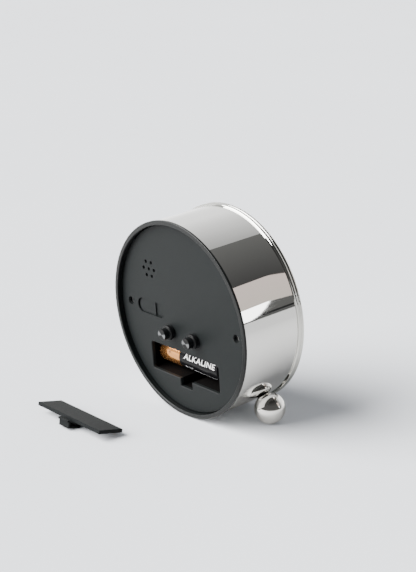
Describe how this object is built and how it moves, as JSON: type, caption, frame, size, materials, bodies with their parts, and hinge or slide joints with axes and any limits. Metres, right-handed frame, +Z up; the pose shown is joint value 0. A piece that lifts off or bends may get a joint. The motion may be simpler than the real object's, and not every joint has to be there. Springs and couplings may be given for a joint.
{
  "type": "flip number clock",
  "caption": "Round chrome drum clock leaning back on two ball feet, with flip numbers behind a lens, a dark rear panel with two knobs and an open battery bay.",
  "frame": {"origin": "on the table, under the centre of the rear ring and under the middle of the case", "axes": "+Z up; +Y out of the back, where the knobs and battery bay are; the numbers face -Y; +X is the left hand side seen from behind"},
  "size_m": [0.1088, 0.1017, 0.1114],
  "materials": {
    "chrome": "mirror polish",
    "dark_shell": "fine satin, dark blue grey",
    "knob_plastic": "gloss, near black",
    "lens_glass": "clear",
    "gasket_rubber": "matt",
    "dial_black": "matt black",
    "leaf_black": "satin black with white numbers",
    "inner_plastic": "natural moulding, satin",
    "bay_plastic": "satin black",
    "steel": "bright zinc",
    "spring_steel": "nickel plated",
    "brass": "turned",
    "board_green": "solder mask",
    "chip_black": "matt",
    "cell_jacket": "printed jacket, copper coloured end",
    "wire_jacket": "flexible insulation",
    "motor_case": "zinc plated can"
  },
  "bodies": {
    "case": {"case_tube": "chrome", "front_bezel": "chrome", "lens": "lens_glass", "lens_gasket": "gasket_rubber", "inner_ring": "dial_black", "dial_plate": "dial_black", "rear_ring": "dark_shell", "rear_cover": "dark_shell", "cover_screws": "steel", "battery_tray": "bay_plastic", "positive_contact": "spring_steel", "negative_spring": "spring_steel", "knob_encoders": "chip_black", "alarm_switch_body": "bay_plastic", "circuit_board": "board_green", "board_screws": "steel", "board_spacers": "inner_plastic", "board_components": "chip_black", "beeper": "chip_black", "left_side_plate": "inner_plastic", "right_side_plate": "inner_plastic", "frame_pillars": "steel", "frame_screws": "steel", "drum_axle": "steel", "minute_leaves": "leaf_black", "ten_minute_leaves": "leaf_black", "hour_leaves": "leaf_black", "leaf_catches": "spring_steel", "minute_carry_bracket": "steel", "hour_carry_bracket": "steel", "idler_stud": "steel", "motor_housing": "motor_case", "battery_wires": "wire_jacket", "beeper_wires": "wire_jacket", "motor_wires": "wire_jacket", "ball_foot_left": "chrome", "ball_foot_right": "chrome", "foot_studs": "steel"},
    "time_knob": {"time_knob": "knob_plastic"},
    "alarm_knob": {"alarm_knob": "knob_plastic"},
    "alarm_switch": {"alarm_switch_slider": "dark_shell"},
    "battery": {"battery": "cell_jacket"},
    "minute_drum": {"minute_drum": "inner_plastic"},
    "ten_minute_drum": {"ten_minute_drum": "inner_plastic"},
    "hour_drum": {"hour_drum": "inner_plastic"},
    "minute_carry_gear": {"minute_carry_gear": "brass"},
    "hour_carry_gear": {"hour_carry_gear": "brass"},
    "idler_gear": {"idler_gear": "inner_plastic"},
    "motor_pinion": {"motor_pinion": "brass"},
    "minute_front_leaf": {"minute_front_leaf": "leaf_black"},
    "ten_minute_front_leaf": {"ten_minute_front_leaf": "leaf_black"},
    "hour_front_leaf": {"hour_front_leaf": "leaf_black"},
    "battery_cover": {"battery_cover": "dark_shell"}
  },
  "joints": [
    {"name": "minute_drum_turn", "type": "hinge", "parent": "case", "child": "minute_drum", "pos_m": [0, -0.02257, 0.05577], "axis": [1, 0, 0], "continuous": true},
    {"name": "ten_minute_drum_turn", "type": "hinge", "parent": "case", "child": "ten_minute_drum", "pos_m": [0, -0.02257, 0.05577], "axis": [1, 0, 0], "continuous": true},
    {"name": "hour_drum_turn", "type": "hinge", "parent": "case", "child": "hour_drum", "pos_m": [0, -0.02257, 0.05577], "axis": [1, 0, 0], "continuous": true},
    {"name": "minute_carry_turn", "type": "hinge", "parent": "case", "child": "minute_carry_gear", "pos_m": [0, -0.01836, 0.06372], "axis": [1, 0, 0], "continuous": true},
    {"name": "hour_carry_turn", "type": "hinge", "parent": "case", "child": "hour_carry_gear", "pos_m": [0, -0.01836, 0.06372], "axis": [1, 0, 0], "continuous": true},
    {"name": "idler_turn", "type": "hinge", "parent": "case", "child": "idler_gear", "pos_m": [0, -0.01951, 0.06789], "axis": [1, 0, 0], "continuous": true},
    {"name": "motor_turn", "type": "hinge", "parent": "case", "child": "motor_pinion", "pos_m": [0, -0.01376, 0.07271], "axis": [1, 0, 0], "continuous": true},
    {"name": "minute_leaf_fall", "type": "hinge", "parent": "case", "child": "minute_front_leaf", "pos_m": [0.0245, -0.02681, 0.05757], "axis": [1, 0, 0], "range_deg": [0, 166]},
    {"name": "ten_minute_leaf_fall", "type": "hinge", "parent": "case", "child": "ten_minute_front_leaf", "pos_m": [0.0065, -0.0269, 0.05734], "axis": [1, 0, 0], "range_deg": [0, 166]},
    {"name": "hour_leaf_fall", "type": "hinge", "parent": "case", "child": "hour_front_leaf", "pos_m": [-0.018, -0.0269, 0.05734], "axis": [1, 0, 0], "range_deg": [0, 166]},
    {"name": "time_knob_turn", "type": "hinge", "parent": "case", "child": "time_knob", "pos_m": [0.01, -0.00083, 0.04433], "axis": [0, 0.9962, -0.0872], "continuous": true},
    {"name": "alarm_knob_turn", "type": "hinge", "parent": "case", "child": "alarm_knob", "pos_m": [-0.01, -0.00083, 0.04433], "axis": [0, 0.9962, -0.0872], "continuous": true},
    {"name": "alarm_switch_slide", "type": "slide", "parent": "case", "child": "alarm_switch", "axis": [-1, 0, 0], "range_m": [0, 0.005]},
    {"name": "battery_lever_out", "type": "hinge", "parent": "case", "child": "battery", "pos_m": [0.0306, -0.0179, 0.02816], "axis": [0, -0.0872, -0.9962], "range_deg": [0, 20]},
    {"name": "battery_cover_lift", "type": "slide", "parent": "case", "child": "battery_cover", "axis": [0, 0, 1], "range_m": [0, 0.08]}
  ],
  "couplings": [
    {"joint": "ten_minute_drum_turn", "follows": "minute_drum_turn", "ratio": 0.083333},
    {"joint": "hour_drum_turn", "follows": "minute_drum_turn", "ratio": 0.013889},
    {"joint": "minute_carry_turn", "follows": "minute_drum_turn", "ratio": -0.25},
    {"joint": "hour_carry_turn", "follows": "minute_drum_turn", "ratio": -0.034722},
    {"joint": "idler_turn", "follows": "minute_drum_turn", "ratio": -1.5},
    {"joint": "motor_turn", "follows": "minute_drum_turn", "ratio": 3}
  ]
}
